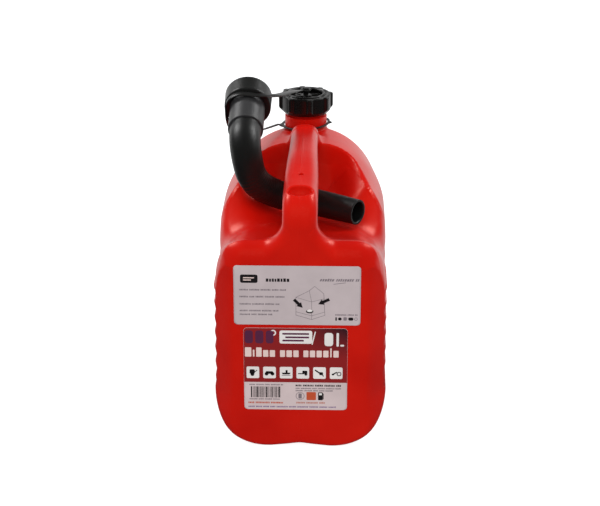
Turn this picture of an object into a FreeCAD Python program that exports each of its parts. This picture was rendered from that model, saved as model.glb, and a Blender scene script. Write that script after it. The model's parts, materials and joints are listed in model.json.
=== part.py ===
"""Five-litre fuel can with an integral handle, a screw cap on a tether and a stowed flexible spout.

+X is the can's width, +Y its length towards the neck, +Z up. The origin is on the ground under its middle.
All sizes are in millimetres. The driving ones are in the sheet "sizes"; every formula below reads them there.
"""

import FreeCAD, Part
import math
import os
import re
import Sketcher

from FreeCAD import Placement, Rotation, Vector

SIZES = {
    # tank
    "can_width": 147, "can_length": 265, "plan_corner": 29, "wall": 1.8,
    "hump_top": 216, "arch": 60, "foot_corner": 45, "end_foot": 16, "end_top": 22,
    "shoulder_top": 186, "shoulder_corner": 10, "shoulder_length": 27,
    "saddle_floor": 171, "saddle_draft": 14, "groove_depth": 2.5, "groove_half": 13,
    "hump_front": 53, "hump_front_half": 14, "hump_side_front": -25, "margin": 20,
    # handle
    "handle_width": 29, "handle_edge": 7.8, "handle_column": 25, "handle_near_top": 227,
    "handle_top": 231, "handle_near_bend": 30, "handle_far_bend": 14, "handle_far": 60,
    "grip_near_roof": 206, "grip_far_roof": 209, "grip_bend": 18, "grip_far": 65, "grip_depth": 8,
    "handle_root": 136, "handle_foot": 91, "handle_foot_top": 190,
    # neck
    "neck_y": 95, "neck_base_radius": 19.5, "neck_base_top": 228, "thread_radius": 18,
    "neck_top": 241, "mouth_radius": 15,
    # cap
    "cap_low": 230.5, "cap_high": 248.5, "cap_radius": 23, "cap_bore": 21, "cap_lip_radius": 19.3,
    "cap_lip": 1.9, "cap_window": 15, "cap_skin": 1.8, "cap_chamfer": 4.5, "lug_count": 8,
    "lug_reach": 2.5, "lug_width": 5.5, "lug_foot": 5.5, "lug_phase": 10,
    "inner_radius": 20.6, "inner_bore": 18.35, "inner_low": 232.8, "inner_roof": 242.5,
    "inner_high": 244.5, "post_radius": 2.4, "post_top": 253.3, "post_head": 3.3, "post_head_low": 252.4,
    "rib_count": 6, "rib_start": 5.5, "rib_end": 13.5, "rib_rise": 1.8, "rib_width": 2.4,
    "seal_gap": 0.3, "seal_inside": 13.5, "seal_outside": 17.9,
    # tether
    "ring_low": 217.5, "ring_high": 219.3, "ring_inside": 20.2, "ring_outside": 23.8,
    "eye_low": 250.6, "eye_high": 252.1, "eye_inside": 2.75, "eye_outside": 5.2, "strap_radius": 1.4,
    # spout, measured along its own axis from the hose end of the sleeve
    "sleeve_radius": 15.5, "sleeve_bore": 12.7, "sleeve_socket": 14.3, "socket_depth": 12,
    "sleeve_flange": 37.4, "flange_thick": 2.2, "flange_radius": 18.1,
    "collar_start": 35, "collar_end": 54, "collar_radius": 21, "collar_bore": 18.45,
    "collar_lip": 2, "collar_fit": 0.08, "collar_relief": 18.9, "thread_start": 41.8,
    "washer_inside": 13, "washer_thick": 1.8,
    "hose_start_radius": 14.2, "hose_end_radius": 10.9, "hose_wall": 1.8,
    # stickers
    "sticker_gap": 0.05, "sticker_thick": 0.3, "sticker_corner": 3,
    "upper_low": 115, "upper_high": 168, "upper_width": 105, "upper_shift": -2,
    "lower_low": 36, "lower_high": 112, "lower_width": 87, "lower_shift": -3.4,
}

SPOUT_FOOT = Vector(-50, -13.6, 246.2)  # centre of the sleeve's hose end
SPOUT_AXIS = Vector(0, 0.96, 0.28)  # from there to the collar's open mouth
HOSE_ROUTE = [
    Vector(-50, -35.5, 239.8),
    Vector(-43.5, -36, 206),
    Vector(-20, -22, 188.5),
    Vector(10, -31, 186.8),
    Vector(48, -57, 187),
]
STRAP_ROUTE = [
    Vector(-25.4, 92, 218.4),
    Vector(-45, 58, 221.5),
    Vector(-69, 21, 236.8),
    Vector(-69, 10.8, 273.4),
    Vector(-28, 8.5, 269.8),
    Vector(-8.5, 68, 257.8),
    Vector(-5.6, 90.4, 251.6),
]

doc = FreeCAD.newDocument("jerry_can")
sheet = doc.addObject("Spreadsheet::Sheet", "sizes")
for row, (alias, size) in enumerate(SIZES.items(), start=1):
    sheet.set(f"A{row}", alias)
    sheet.set(f"B{row}", str(size))
    sheet.setAlias(f"B{row}", alias)
doc.recompute()


def on_sheet(formula):
    """The formula with each size named by its cell on the sheet."""
    return re.sub(r"[a-z]\w*", lambda word: "sizes." + word.group(), formula)


def number(formula):
    """What the formula comes to with the sheet's present sizes."""
    return float(sheet.evalExpression(on_sheet(formula)))


# ---------------------------------------------------------------- sketches


def new_body(name):
    return doc.addObject("PartDesign::Body", name)


def new_sketch(body, name, plane, height=None):
    """A sketch on one of the body's own origin planes, raised along its normal by a formula."""
    sketch = body.newObject("Sketcher::SketchObject", name)
    origin = {feature.Role: feature for feature in body.Origin.OriginFeatures}
    sketch.AttachmentSupport = [(origin[plane], "")]
    sketch.MapMode = "FlatFace"
    if height:
        sketch.setExpression("AttachmentOffset.Base.z", on_sheet(height))
    return sketch


def bind(sketch, constraint, formula):
    """Add a dimension whose value the sheet drives."""
    index = sketch.addConstraint(constraint)
    sketch.setExpression(f"Constraints[{index}]", on_sheet(formula))


def pin_point(sketch, geometry, end, across, up):
    """Fix a point of the sketch by two formulas measured from its origin."""
    bind(sketch, Sketcher.Constraint("DistanceX", -1, 1, geometry, end, number(across)), across)
    bind(sketch, Sketcher.Constraint("DistanceY", -1, 1, geometry, end, number(up)), up)


def tangent_arc(before, corner, after, radius):
    """Centre, start and end of the arc that rounds a corner."""
    towards = (before - corner).normalize()
    away = (after - corner).normalize()
    half = towards.getAngle(away) / 2
    start = corner + towards * (radius / math.tan(half))
    end = corner + away * (radius / math.tan(half))
    centre = corner + (towards + away).normalize() * (radius / math.sin(half))
    return centre, start, end


def outline(sketch, corners):
    """A closed outline through corners of (across, up) or (across, up, radius), each a formula."""
    points = [Vector(number(corner[0]), number(corner[1]), 0) for corner in corners]
    count = len(points)
    guides = []
    for i, corner in enumerate(corners):
        line = Part.LineSegment(points[i], points[(i + 1) % count])
        guides.append(sketch.addGeometry(line, True))
        pin_point(sketch, guides[i], 1, corner[0], corner[1])
    for i in range(count):
        sketch.addConstraint(Sketcher.Constraint("Coincident", guides[i - 1], 2, guides[i], 1))

    arcs = {}  # corner number: (arc, point where it starts, point where it ends, start, end)
    for i, corner in enumerate(corners):
        if len(corner) == 2:
            continue
        radius = number(corner[2])
        centre, start, end = tangent_arc(points[i - 1], points[i], points[(i + 1) % count], radius)
        middle = centre + (points[i] - centre).normalize() * radius
        arc = sketch.addGeometry(Part.Arc(start, middle, end), False)
        arc_start = sketch.getPoint(arc, 1)
        starts_first = arc_start.distanceToPoint(start) < arc_start.distanceToPoint(end)
        first, second = (1, 2) if starts_first else (2, 1)
        arcs[i] = (arc, first, second, start, end)

    for i in range(count):
        following = (i + 1) % count
        start = arcs[i][4] if i in arcs else points[i]
        end = arcs[following][3] if following in arcs else points[following]
        side = sketch.addGeometry(Part.LineSegment(start, end), False)
        if i in arcs:
            sketch.addConstraint(Sketcher.Constraint("Tangent", side, 1, arcs[i][0], arcs[i][2]))
            sketch.addConstraint(Sketcher.Constraint("PointOnObject", side, 1, guides[i]))
        else:
            sketch.addConstraint(Sketcher.Constraint("Coincident", side, 1, guides[i], 1))
        if following in arcs:
            arc, first = arcs[following][:2]
            sketch.addConstraint(Sketcher.Constraint("Tangent", side, 2, arc, first))
            sketch.addConstraint(Sketcher.Constraint("PointOnObject", side, 2, guides[i]))
        else:
            sketch.addConstraint(Sketcher.Constraint("Coincident", side, 2, guides[i], 2))
    for i, (arc, *_) in arcs.items():
        bind(sketch, Sketcher.Constraint("Radius", arc, number(corners[i][2])), corners[i][2])


# ---------------------------------------------------------------- features


def pad(body, sketch, length, midplane=False):
    feature = body.newObject("PartDesign::Pad", "Pad_" + sketch.Name)
    feature.Profile = sketch
    feature.setExpression("Length", on_sheet(length))
    feature.Midplane = midplane
    sketch.Visibility = False
    return feature


def pocket(body, sketch, length, midplane=False, upwards=False, draft=None):
    before = body.Tip.Shape.Volume
    feature = body.newObject("PartDesign::Pocket", "Pocket_" + sketch.Name)
    feature.Profile = sketch
    feature.setExpression("Length", on_sheet(length))
    feature.Midplane = midplane
    feature.Reversed = upwards
    if draft:
        feature.setExpression("TaperAngle", on_sheet(draft))
    doc.recompute()
    assert feature.Shape.Volume < before - 1, feature.Name + " cuts nothing"
    return feature


def revolve(body, profile):
    """Turn an outline of (radius, height) formulas about the body's own Z axis."""
    sketch = new_sketch(body, "Profile_" + body.Name, "XZ_Plane")
    outline(sketch, profile)
    feature = body.newObject("PartDesign::Revolution", "Turned_" + body.Name)
    feature.Profile = sketch
    feature.ReferenceAxis = (sketch, ["V_Axis"])
    feature.Angle = 360
    return feature


def turned_piece(name, profile):
    body = new_body(name)
    revolve(body, profile)
    return body


def pattern_round(body, feature, count):
    """Repeat a feature evenly about the body's Z axis; the pattern becomes the body's tip."""
    origin = {axis.Role: axis for axis in body.Origin.OriginFeatures}
    pattern = body.newObject("PartDesign::PolarPattern", "Round_" + feature.Name)
    pattern.Originals = [feature]
    pattern.Axis = (origin["Z_Axis"], [""])
    pattern.Angle = 360
    pattern.setExpression("Occurrences", on_sheet(count))
    body.Tip = pattern


def place_on_neck(piece):
    piece.setExpression("Placement.Base.y", "sizes.neck_y")


def place_on_spout(piece):
    piece.Placement = Placement(SPOUT_FOOT, Rotation(Vector(0, 0, 1), SPOUT_AXIS))


def joined(name, pieces):
    union = doc.addObject("Part::MultiFuse", name)
    union.Shapes = pieces
    return union


def cut(name, base, tool):
    difference = doc.addObject("Part::Cut", name)
    difference.Base = base
    difference.Tool = tool
    return difference


# ---------------------------------------------------------------- can


def far_outside(half_size):
    """A rectangle that clears the tank all round, for the outer edge of a sketch that cuts round an outline."""
    return [
        (f"-{half_size}", "-margin"), (half_size, "-margin"),
        (half_size, "hump_top + margin"), (f"-{half_size}", "hump_top + margin"),
    ]


def tank_form(name, inset):
    """The tank's outside, or with the wall as inset its inside: three rounded outlines and a saddle."""
    body = new_body(name)
    right, left = f"can_width / 2 - {inset}", f"-(can_width / 2 - {inset})"
    far, near = f"can_length / 2 - {inset}", f"-(can_length / 2 - {inset})"
    low, high = inset, f"hump_top - {inset}"

    plan = new_sketch(body, name + "_plan", "XY_Plane")
    corner = f"plan_corner - {inset}"
    outline(plan, [(left, near, corner), (right, near, corner), (right, far, corner), (left, far, corner)])
    pad(body, plan, "hump_top")
    doc.recompute()

    front = new_sketch(body, name + "_front", "XZ_Plane")
    outline(front, far_outside("can_width"))
    foot, arch = f"foot_corner - {inset}", f"arch - {inset}"
    outline(front, [
        (left, low, foot), ("-groove_half", low), ("0", f"groove_depth + {low}"), ("groove_half", low),
        (right, low, foot), (right, high, arch), (left, high, arch),
    ])
    pocket(body, front, "can_length * 2", midplane=True)

    side = new_sketch(body, name + "_side", "YZ_Plane")
    outline(side, far_outside("can_length"))
    shoulder_end = f"-(can_length / 2 - shoulder_length) - {inset}"
    outline(side, [
        (near, low, f"end_foot - {inset}"), (far, low, f"end_foot - {inset}"),
        (far, high, f"end_top - {inset}"), (shoulder_end, high),
        (shoulder_end, f"shoulder_top - {inset}"),
        (near, f"shoulder_top - {inset}", f"shoulder_corner - {inset}"),
    ])
    pocket(body, side, "can_width * 2", midplane=True)

    saddle = new_sketch(body, name + "_saddle", "XY_Plane", f"saddle_floor - {inset}")
    side_front, centre_front = f"hump_side_front + {inset}", f"hump_front + {inset}"
    outline(saddle, [
        ("-can_width", shoulder_end), ("can_width", shoulder_end),
        ("can_width", f"{side_front} - can_width * 0.3"), ("can_width / 2", side_front),
        ("hump_front_half", centre_front), ("-hump_front_half", centre_front),
        ("-can_width / 2", side_front), ("-can_width", f"{side_front} - can_width * 0.3"),
    ])
    pocket(body, saddle, "hump_top", upwards=True, draft="saddle_draft")
    return body


def handle_form(name, inset):
    """The handle's loop, from inside the near shoulder to inside the hump, rounded along both sides."""
    body = new_body(name)
    loop = new_sketch(body, name + "_loop", "YZ_Plane")
    near = f"-(can_length / 2 - {inset})"
    outline(loop, [
        (near, "handle_root"), (near, f"handle_near_top - {inset}", f"handle_near_bend - {inset}"),
        (f"handle_far - {inset}", f"handle_top - {inset}", f"handle_far_bend - {inset}"),
        (f"handle_foot - {inset}", "handle_foot_top"), (f"handle_foot - {inset}", "handle_root"),
    ])
    grip_near = f"-(can_length / 2 - handle_column) - {inset}"
    grip_low = "saddle_floor - grip_depth"
    outline(loop, [
        (grip_near, grip_low), (grip_near, f"grip_near_roof + {inset}", f"grip_bend + {inset}"),
        (f"grip_far + {inset}", f"grip_far_roof + {inset}", f"grip_bend - 4 + {inset}"),
        (f"grip_far - 4 + {inset}", grip_low),
    ])
    pad(body, loop, f"handle_width - 2 * ({inset})", midplane=True)
    doc.recompute()
    side = number(f"handle_width / 2 - {inset}")
    base = body.Tip
    long_edges = [
        f"Edge{i}" for i, edge in enumerate(base.Shape.Edges, start=1)
        if {round(vertex.X, 3) for vertex in edge.Vertexes} in ({round(side, 3)}, {round(-side, 3)})
    ]
    rounding = body.newObject("PartDesign::Fillet", name + "_rounding")
    rounding.Base = (base, long_edges)
    rounding.setExpression("Radius", on_sheet(f"handle_edge - {inset}"))
    return body


def neck_form(name, profile):
    neck = turned_piece(name, profile)
    place_on_neck(neck)
    return neck


def can_body():
    outside = joined("can_outside", [
        tank_form("tank_outside", "0"),
        handle_form("handle_outside", "0"),
        neck_form("neck_outside", [
            ("0", "hump_top - 6"), ("neck_base_radius", "hump_top - 6"), ("neck_base_radius", "neck_base_top"),
            ("thread_radius", "neck_base_top + 1"), ("thread_radius", "neck_top"), ("0", "neck_top"),
        ]),
    ])
    inside = joined("can_inside", [
        tank_form("tank_inside", "wall"),
        handle_form("handle_inside", "wall"),
        neck_form("neck_inside", [
            ("0", "hump_top - 12"), ("mouth_radius", "hump_top - 12"), ("mouth_radius", "neck_top + 5"),
            ("0", "neck_top + 5"),
        ]),
    ])
    return cut("can_body", outside, inside)


# ---------------------------------------------------------------- cap


def cap_outer():
    body = turned_piece("cap_outer", [
        ("cap_lip_radius", "cap_low"), ("cap_radius - cap_chamfer * 0.6", "cap_low"),
        ("cap_radius", "cap_low + cap_chamfer"), ("cap_radius", "cap_high", "1.5"),
        ("cap_window", "cap_high", "0.8"), ("cap_window", "cap_high - cap_skin"),
        ("cap_bore", "cap_high - cap_skin"), ("cap_bore", "cap_low + cap_lip"),
        ("cap_lip_radius", "cap_low + cap_lip"),
    ])
    lug = new_sketch(body, "lug", "XY_Plane", "cap_low + lug_foot")
    outline(lug, [
        ("cap_radius - 1", "-lug_width / 2"), ("cap_radius + lug_reach", "-lug_width / 2", "1"),
        ("cap_radius + lug_reach", "lug_width / 2", "1"), ("cap_radius - 1", "lug_width / 2"),
    ])
    bar = pad(body, lug, "cap_high - cap_low - lug_foot - 0.6")
    pattern_round(body, bar, "lug_count")
    body.setExpression("Placement.Base.y", "sizes.neck_y")
    body.setExpression("Placement.Rotation.Angle", "sizes.lug_phase")
    return body


def cap_inner():
    body = turned_piece("cap_inner", [
        ("inner_bore", "inner_low"), ("inner_radius", "inner_low"), ("inner_radius", "inner_high", "0.8"),
        ("post_radius", "inner_high"), ("post_radius", "post_head_low"), ("post_head", "post_head_low"),
        ("post_head", "post_top", "0.6"), ("0", "post_top"), ("0", "inner_roof"), ("inner_bore", "inner_roof"),
    ])
    rib = new_sketch(body, "drive_rib", "XY_Plane", "inner_high")
    outline(rib, [
        ("rib_start", "-rib_width / 2"), ("rib_end", "-rib_width / 2"),
        ("rib_end", "rib_width / 2"), ("rib_start", "rib_width / 2"),
    ])
    pattern_round(body, pad(body, rib, "rib_rise"), "rib_count")
    place_on_neck(body)
    return body


def flat_ring(name, inside, outside, low, high):
    ring = turned_piece(name, [(inside, low), (outside, low), (outside, high), (inside, high)])
    place_on_neck(ring)
    return ring


# ---------------------------------------------------------------- spout


def spout_sleeve():
    sleeve = turned_piece("spout_sleeve", [
        ("sleeve_socket", "0"), ("sleeve_radius", "0", "0.5"), ("sleeve_radius", "sleeve_flange"),
        ("flange_radius", "sleeve_flange"), ("flange_radius", "sleeve_flange + flange_thick"),
        ("sleeve_bore", "sleeve_flange + flange_thick"), ("sleeve_bore", "socket_depth + 0.3"),
        ("sleeve_socket", "socket_depth + 0.3"),
    ])
    place_on_spout(sleeve)
    return sleeve


def spout_collar():
    collar = turned_piece("spout_collar", [
        ("sleeve_radius + collar_fit", "collar_start"), ("collar_radius", "collar_start", "0.8"),
        ("collar_radius", "collar_end", "0.8"), ("collar_bore", "collar_end"), ("collar_bore", "thread_start"),
        ("collar_relief", "thread_start"), ("collar_relief", "collar_start + collar_lip"),
        ("sleeve_radius + collar_fit", "collar_start + collar_lip"),
    ])
    place_on_spout(collar)
    return collar


def spout_gasket():
    low = "sleeve_flange + flange_thick + 0.02"
    gasket = turned_piece("spout_gasket", [
        ("washer_inside", low), ("flange_radius", low), ("flange_radius", low + " + washer_thick"),
        ("washer_inside", low + " + washer_thick"),
    ])
    place_on_spout(gasket)
    return gasket


def rounded_path(route):
    """Straight runs joined by wide arcs: for each stretch its two ends, and for an arc its centre."""
    stretches = []
    last = route[0]
    for i in range(1, len(route) - 1):
        shorter = min(route[i].distanceToPoint(route[i - 1]), route[i].distanceToPoint(route[i + 1]))
        towards = (route[i - 1] - route[i]).normalize()
        away = (route[i + 1] - route[i]).normalize()
        half = towards.getAngle(away) / 2
        radius = 0.45 * shorter * math.tan(half)
        centre, start, end = tangent_arc(route[i - 1], route[i], route[i + 1], radius)
        stretches.append((last, start, None))
        stretches.append((start, end, centre))
        last = end
    stretches.append((last, route[-1], None))
    return stretches


def bend_solid(start, end, centre, radius):
    """A ring's piece of round section, turned about its centre from start to end."""
    axis = (start - centre).cross(end - centre)
    turn = math.degrees((start - centre).getAngle(end - centre))
    along = axis.cross(start - centre)
    disc = Part.Face(Part.Wire(Part.Circle(start, along, radius).toShape()))
    return disc.revolve(centre, axis, turn)


def tube_solid(stretches, radius_at):
    """A round bar along the path; its radius changes on the straight runs only."""
    total = sum(length_of(stretch) for stretch in stretches)
    travelled = 0
    pieces = []
    radius = radius_at(0)
    for start, end, centre in stretches:
        travelled += length_of((start, end, centre))
        if centre:
            pieces.append(bend_solid(start, end, centre, radius))
            continue
        narrower = radius_at(travelled / total)
        along = end - start
        if abs(narrower - radius) < 1e-6:
            pieces.append(Part.makeCylinder(radius, along.Length, start, along))
        else:
            pieces.append(Part.makeCone(radius, narrower, along.Length, start, along))
        radius = narrower
    return pieces[0].fuse(pieces[1:]).removeSplitter()


def length_of(stretch):
    start, end, centre = stretch
    if centre is None:
        return start.distanceToPoint(end)
    return (start - centre).Length * (start - centre).getAngle(end - centre)


def spout_hose():
    """The flexible nozzle: a tube that narrows on its straight runs, open at both ends."""
    socket = SPOUT_FOOT + SPOUT_AXIS * number("socket_depth")
    route = [socket] + HOSE_ROUTE
    first, last, wall = number("hose_start_radius"), number("hose_end_radius"), number("hose_wall")
    stretches = rounded_path(route)

    def outer_radius(share):
        return first + (last - first) * share

    bar = tube_solid(stretches, outer_radius)
    bore = tube_solid(stretches, lambda share: outer_radius(share) - wall)
    hose = doc.addObject("Part::Feature", "spout_hose")
    hose.Shape = bar.cut(bore)
    return hose


# ---------------------------------------------------------------- tether


def tether_strap():
    """The strap from the neck's ring round the spout's sleeve to the eye on the cap."""
    stretches = rounded_path(STRAP_ROUTE)
    radius = number("strap_radius")
    strap = doc.addObject("Part::Feature", "tether_strap")
    strap.Shape = tube_solid(stretches, lambda share: radius)
    length = sum(length_of(stretch) for stretch in stretches)
    bends = [(start - centre).Length for start, end, centre in stretches if centre]
    print("strap length", round(length, 1), "bend radii", [round(bend, 1) for bend in bends])
    print("strap volume over section times length", strap.Shape.Volume / (math.pi * radius**2 * length))
    return strap


# ---------------------------------------------------------------- stickers


def sticker(name, low, high, width, shift):
    """A thin sheet that follows the can's end face and the start of its upright corners."""
    body = new_body(name + "_skin")
    plan = new_sketch(body, name + "_plan", "XY_Plane", low)
    for proud in ("sticker_gap + sticker_thick", "sticker_gap"):
        x, y = f"can_width / 2 + {proud}", f"can_length / 2 + {proud}"
        corner = f"plan_corner + {proud}"
        outline(plan, [
            (f"-({x})", f"-({y})", corner), (x, f"-({y})", corner), (x, y, corner), (f"-({x})", y, corner),
        ])
    pad(body, plan, f"{high} - {low}")

    window = new_body(name + "_window")
    face = new_sketch(window, name + "_face", "XZ_Plane")
    left, right = f"{shift} - {width} / 2", f"{shift} + {width} / 2"
    outline(face, [
        (left, low, "sticker_corner"), (right, low, "sticker_corner"),
        (right, high, "sticker_corner"), (left, high, "sticker_corner"),
    ])
    pad(window, face, "can_length")
    common = doc.addObject("Part::Common", name)
    common.Base = body
    common.Tool = window
    return common


# ---------------------------------------------------------------- the whole object

pieces = {
    "can_body": can_body(),
    "cap_outer": cap_outer(),
    "cap_inner": cap_inner(),
    "cap_gasket": flat_ring(
        "cap_gasket", "seal_inside", "seal_outside", "neck_top + seal_gap", "inner_roof - 0.02"),
    "tether_ring": flat_ring("tether_ring", "ring_inside", "ring_outside", "ring_low", "ring_high"),
    "tether_eye": flat_ring("tether_eye", "eye_inside", "eye_outside", "eye_low", "eye_high"),
    "tether_strap": tether_strap(),
    "spout_sleeve": spout_sleeve(),
    "spout_collar": spout_collar(),
    "spout_gasket": spout_gasket(),
    "spout_hose": spout_hose(),
    "label_upper": sticker("label_upper", "upper_low", "upper_high", "upper_width", "upper_shift"),
    "label_lower": sticker("label_lower", "lower_low", "lower_high", "lower_width", "lower_shift"),
}
doc.recompute()

for thing in doc.Objects:
    assert not {"Invalid", "Error"} & set(thing.State), (thing.Name, thing.State)

os.makedirs("parts", exist_ok=True)
for name, piece in pieces.items():
    piece.Label = name
    shape = piece.Shape
    assert not shape.isNull() and shape.isValid() and len(shape.Solids) == 1, (name, len(shape.Solids))
    shape.exportStep(f"parts/{name}.step")
    print(f"{name:14} {shape.Volume / 1000:8.2f} cm3  {shape.BoundBox}")
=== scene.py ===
"""Red plastic fuel can with a stowed pouring spout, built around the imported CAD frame.

Shapes are worked out in millimetres in the frame's axes (+X width, +Y towards the neck, +Z up) and put
into the scene in metres. Every piece rides on its CAD body.
"""

import json
import math

import bpy
import numpy as np
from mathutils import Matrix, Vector

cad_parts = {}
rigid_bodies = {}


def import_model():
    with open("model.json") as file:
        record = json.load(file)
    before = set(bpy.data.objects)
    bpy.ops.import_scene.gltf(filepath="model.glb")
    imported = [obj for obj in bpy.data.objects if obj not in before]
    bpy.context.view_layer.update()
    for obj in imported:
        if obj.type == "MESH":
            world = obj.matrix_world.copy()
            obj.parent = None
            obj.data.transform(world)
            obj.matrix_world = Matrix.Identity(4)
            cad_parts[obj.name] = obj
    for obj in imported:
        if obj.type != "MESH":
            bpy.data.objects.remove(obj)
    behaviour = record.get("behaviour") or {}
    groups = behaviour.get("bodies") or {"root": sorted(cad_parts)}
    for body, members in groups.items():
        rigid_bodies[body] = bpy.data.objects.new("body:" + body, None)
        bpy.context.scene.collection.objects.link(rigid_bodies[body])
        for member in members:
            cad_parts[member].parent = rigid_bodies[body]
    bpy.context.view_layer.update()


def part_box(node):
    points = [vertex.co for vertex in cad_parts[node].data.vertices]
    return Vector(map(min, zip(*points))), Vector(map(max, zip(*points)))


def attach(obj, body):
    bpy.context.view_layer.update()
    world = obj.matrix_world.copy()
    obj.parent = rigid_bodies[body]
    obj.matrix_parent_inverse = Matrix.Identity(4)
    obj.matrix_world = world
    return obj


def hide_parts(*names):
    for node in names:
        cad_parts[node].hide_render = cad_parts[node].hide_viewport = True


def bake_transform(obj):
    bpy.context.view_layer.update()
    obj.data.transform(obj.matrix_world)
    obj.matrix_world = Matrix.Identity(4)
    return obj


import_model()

MM = 0.001


def box_mm(node):
    """A CAD node's lowest and highest corner, in millimetres."""
    low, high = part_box(node)
    return np.array(low) / MM, np.array(high) / MM


# ---------------------------------------------------------------- sizes, from the frame

CAN_HIGH = box_mm("can_body")[1]
HALF_WIDTH = CAN_HIGH[0]
HALF_LENGTH = CAN_HIGH[1]
NECK_TOP = CAN_HIGH[2]
GASKET_LOW, GASKET_HIGH = box_mm("cap_gasket")
NECK = np.array([0.0, (GASKET_LOW[1] + GASKET_HIGH[1]) / 2, 0.0])
CAP_LOW, CAP_HIGH = box_mm("cap_outer")
WALL = 1.8

# The can's form, as in the CAD part.
PLAN_CORNER = 29
FOOT_CORNER = 45
END_FOOT = 16
FRONT_FOOT = 4
HUMP_TOP = 216
ARCH = 60
FAR_END_ROUND = 43
SHOULDER_TOP = 186
SADDLE = 171
NECK_BASE_RADIUS = 19.5
NECK_BASE_TOP = 228
MOUTH_RADIUS = 15

# The handle's loop.
HANDLE_HALF = 14.5
HANDLE_EDGE = 9
COLUMN_BACK = -HALF_LENGTH + 25
HANDLE_BEND = 28
GRIP_BEND = 18


# ---------------------------------------------------------------- distance functions (millimetres)


def smooth(t):
    """0 below 0, 1 above 1, and an even curve between."""
    t = np.clip(t, 0, 1)
    return t * t * (3 - 2 * t)


def both(a, b, radius):
    """What is inside a and b, with the edge between them rounded."""
    rounded = np.hypot(np.maximum(a + radius, 0), np.maximum(b + radius, 0))
    return np.minimum(np.maximum(a, b), -radius) + rounded


def either(a, b, radius):
    """What is inside a or b, with a fillet in the corner between them."""
    fillet = np.hypot(np.maximum(radius - a, 0), np.maximum(radius - b, 0))
    return np.maximum(np.minimum(a, b), radius) - fillet


def past(value, start, softness):
    """How far value is past start, easing in smoothly."""
    return softness * np.logaddexp(0, (value - start) / softness)


def taper(y):
    """How much the hump narrows at each side towards the far end."""
    return 0.145 * past(y, 40, 6)


def hump_height(x, y):
    """Top of the hump: an arched section that falls away round the far end."""
    sideways = np.maximum(np.abs(x) + taper(y) - (HALF_WIDTH - ARCH), 0) / ARCH
    backwards = np.maximum(y - (HALF_LENGTH - FAR_END_ROUND), 0) / FAR_END_ROUND
    out = sideways**2 + backwards**2
    return HUMP_TOP - ARCH * (1 - np.sqrt(np.maximum(1 - out, 0))) - 90 * np.maximum(out - 1, 0)


def ledge_distance(x, y):
    """How far behind the hump's front ledge a point lies, in plan. The ledge sweeps forward at both sides."""
    across = np.abs(x)
    side = (across - 43) * 0.944 + (y - 20) * 0.332
    bay = both(y - 39, side, 16)
    return either(bay, y + 25, 12)


def low_height(x, y):
    """Top of the can before the ledge: a saddle under the hand, rising to the ledge and the near shoulder."""
    across = np.abs(x)
    flat_half, facet_slope = 46, 0.8
    floor = SADDLE - facet_slope * past(across, flat_half, 5)

    step = 18 - 14.5 * smooth((across - 15) / 42)
    rise_length = 46
    climb = np.clip(1 + ledge_distance(x, y) / rise_length, 0, 1) ** 1.8
    floor = floor + np.maximum(hump_height(x, y) - step - floor, 0) * climb

    shoulder_radius = 28
    over = np.clip(across - 45, 0, shoulder_radius - 1)
    shoulder = SHOULDER_TOP - shoulder_radius + np.sqrt(shoulder_radius**2 - over**2)
    return floor + (shoulder - floor) * np.clip((-42 - y) / 78, 0, 1) ** 1.35


def top_height(x, y):
    wall = smooth((ledge_distance(x, y) + 1) / 6)
    low = low_height(x, y)
    return low + (hump_height(x, y) - low) * wall


def side_panel(y, z):
    """How deep the ribbed panels on the two sides lie below the full width."""
    window = smooth((z - 44) / 12) * smooth((152 - z) / 16) * smooth((116 - np.abs(y + 2)) / 14)
    rib_pitch = 14
    return window * (1.7 - 1.15 * np.cos(2 * math.pi * (z - 55) / rib_pitch))


def tank_distance(x, y, z):
    """The can without its handle, open-ended towards the front: front_face closes it."""
    across = np.abs(x) + taper(y) * smooth((z - 145) / 35)
    from_side = across - (HALF_WIDTH - side_panel(y, z)) + PLAN_CORNER
    from_end = y - (HALF_LENGTH - PLAN_CORNER)
    plan = np.hypot(np.maximum(from_side, 0), np.maximum(from_end, 0))
    plan = plan + np.minimum(np.maximum(from_side, from_end), 0) - PLAN_CORNER

    sideways = smooth((from_side - from_end) / 50 + 0.5)
    groove = 2.8 * np.clip(1 - np.abs(x) / 25, 0, 1) ** 1.15
    body = both(plan, groove - z, END_FOOT + (FOOT_CORNER - END_FOOT) * sideways)

    nudge = 0.5
    slope_x = (top_height(x + nudge, y) - top_height(x - nudge, y)) / (2 * nudge)
    slope_y = (top_height(x, y + nudge) - top_height(x, y - nudge)) / (2 * nudge)
    top = (z - top_height(x, y)) / np.sqrt(1 + slope_x**2 + slope_y**2)
    return both(body, top, 2 + 11 * smooth(-ledge_distance(x, y) / 30))


def column_distance(x, y, z):
    """The foot of the handle's near column, open-ended towards the front like the tank."""
    section = both(np.abs(x) - HANDLE_HALF, y - COLUMN_BACK, HANDLE_EDGE)
    return np.maximum(section, np.maximum(z - 202, 140 - z))


def front_face(body, x, y, z):
    """Close the near end with a flat face. Its edge is round at the sides and tight at the foot."""
    across = np.abs(x)
    edge = HANDLE_EDGE + 8 * smooth((across - 17) / 14) * smooth((z - 120) / 40)
    edge = edge + (PLAN_CORNER - edge) * smooth((across - 42) / 27) * smooth((192 - z) / 30)
    edge = edge + (FRONT_FOOT - edge) * smooth((50 - z) / 44)
    return both(body, -HALF_LENGTH - y, edge)


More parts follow.
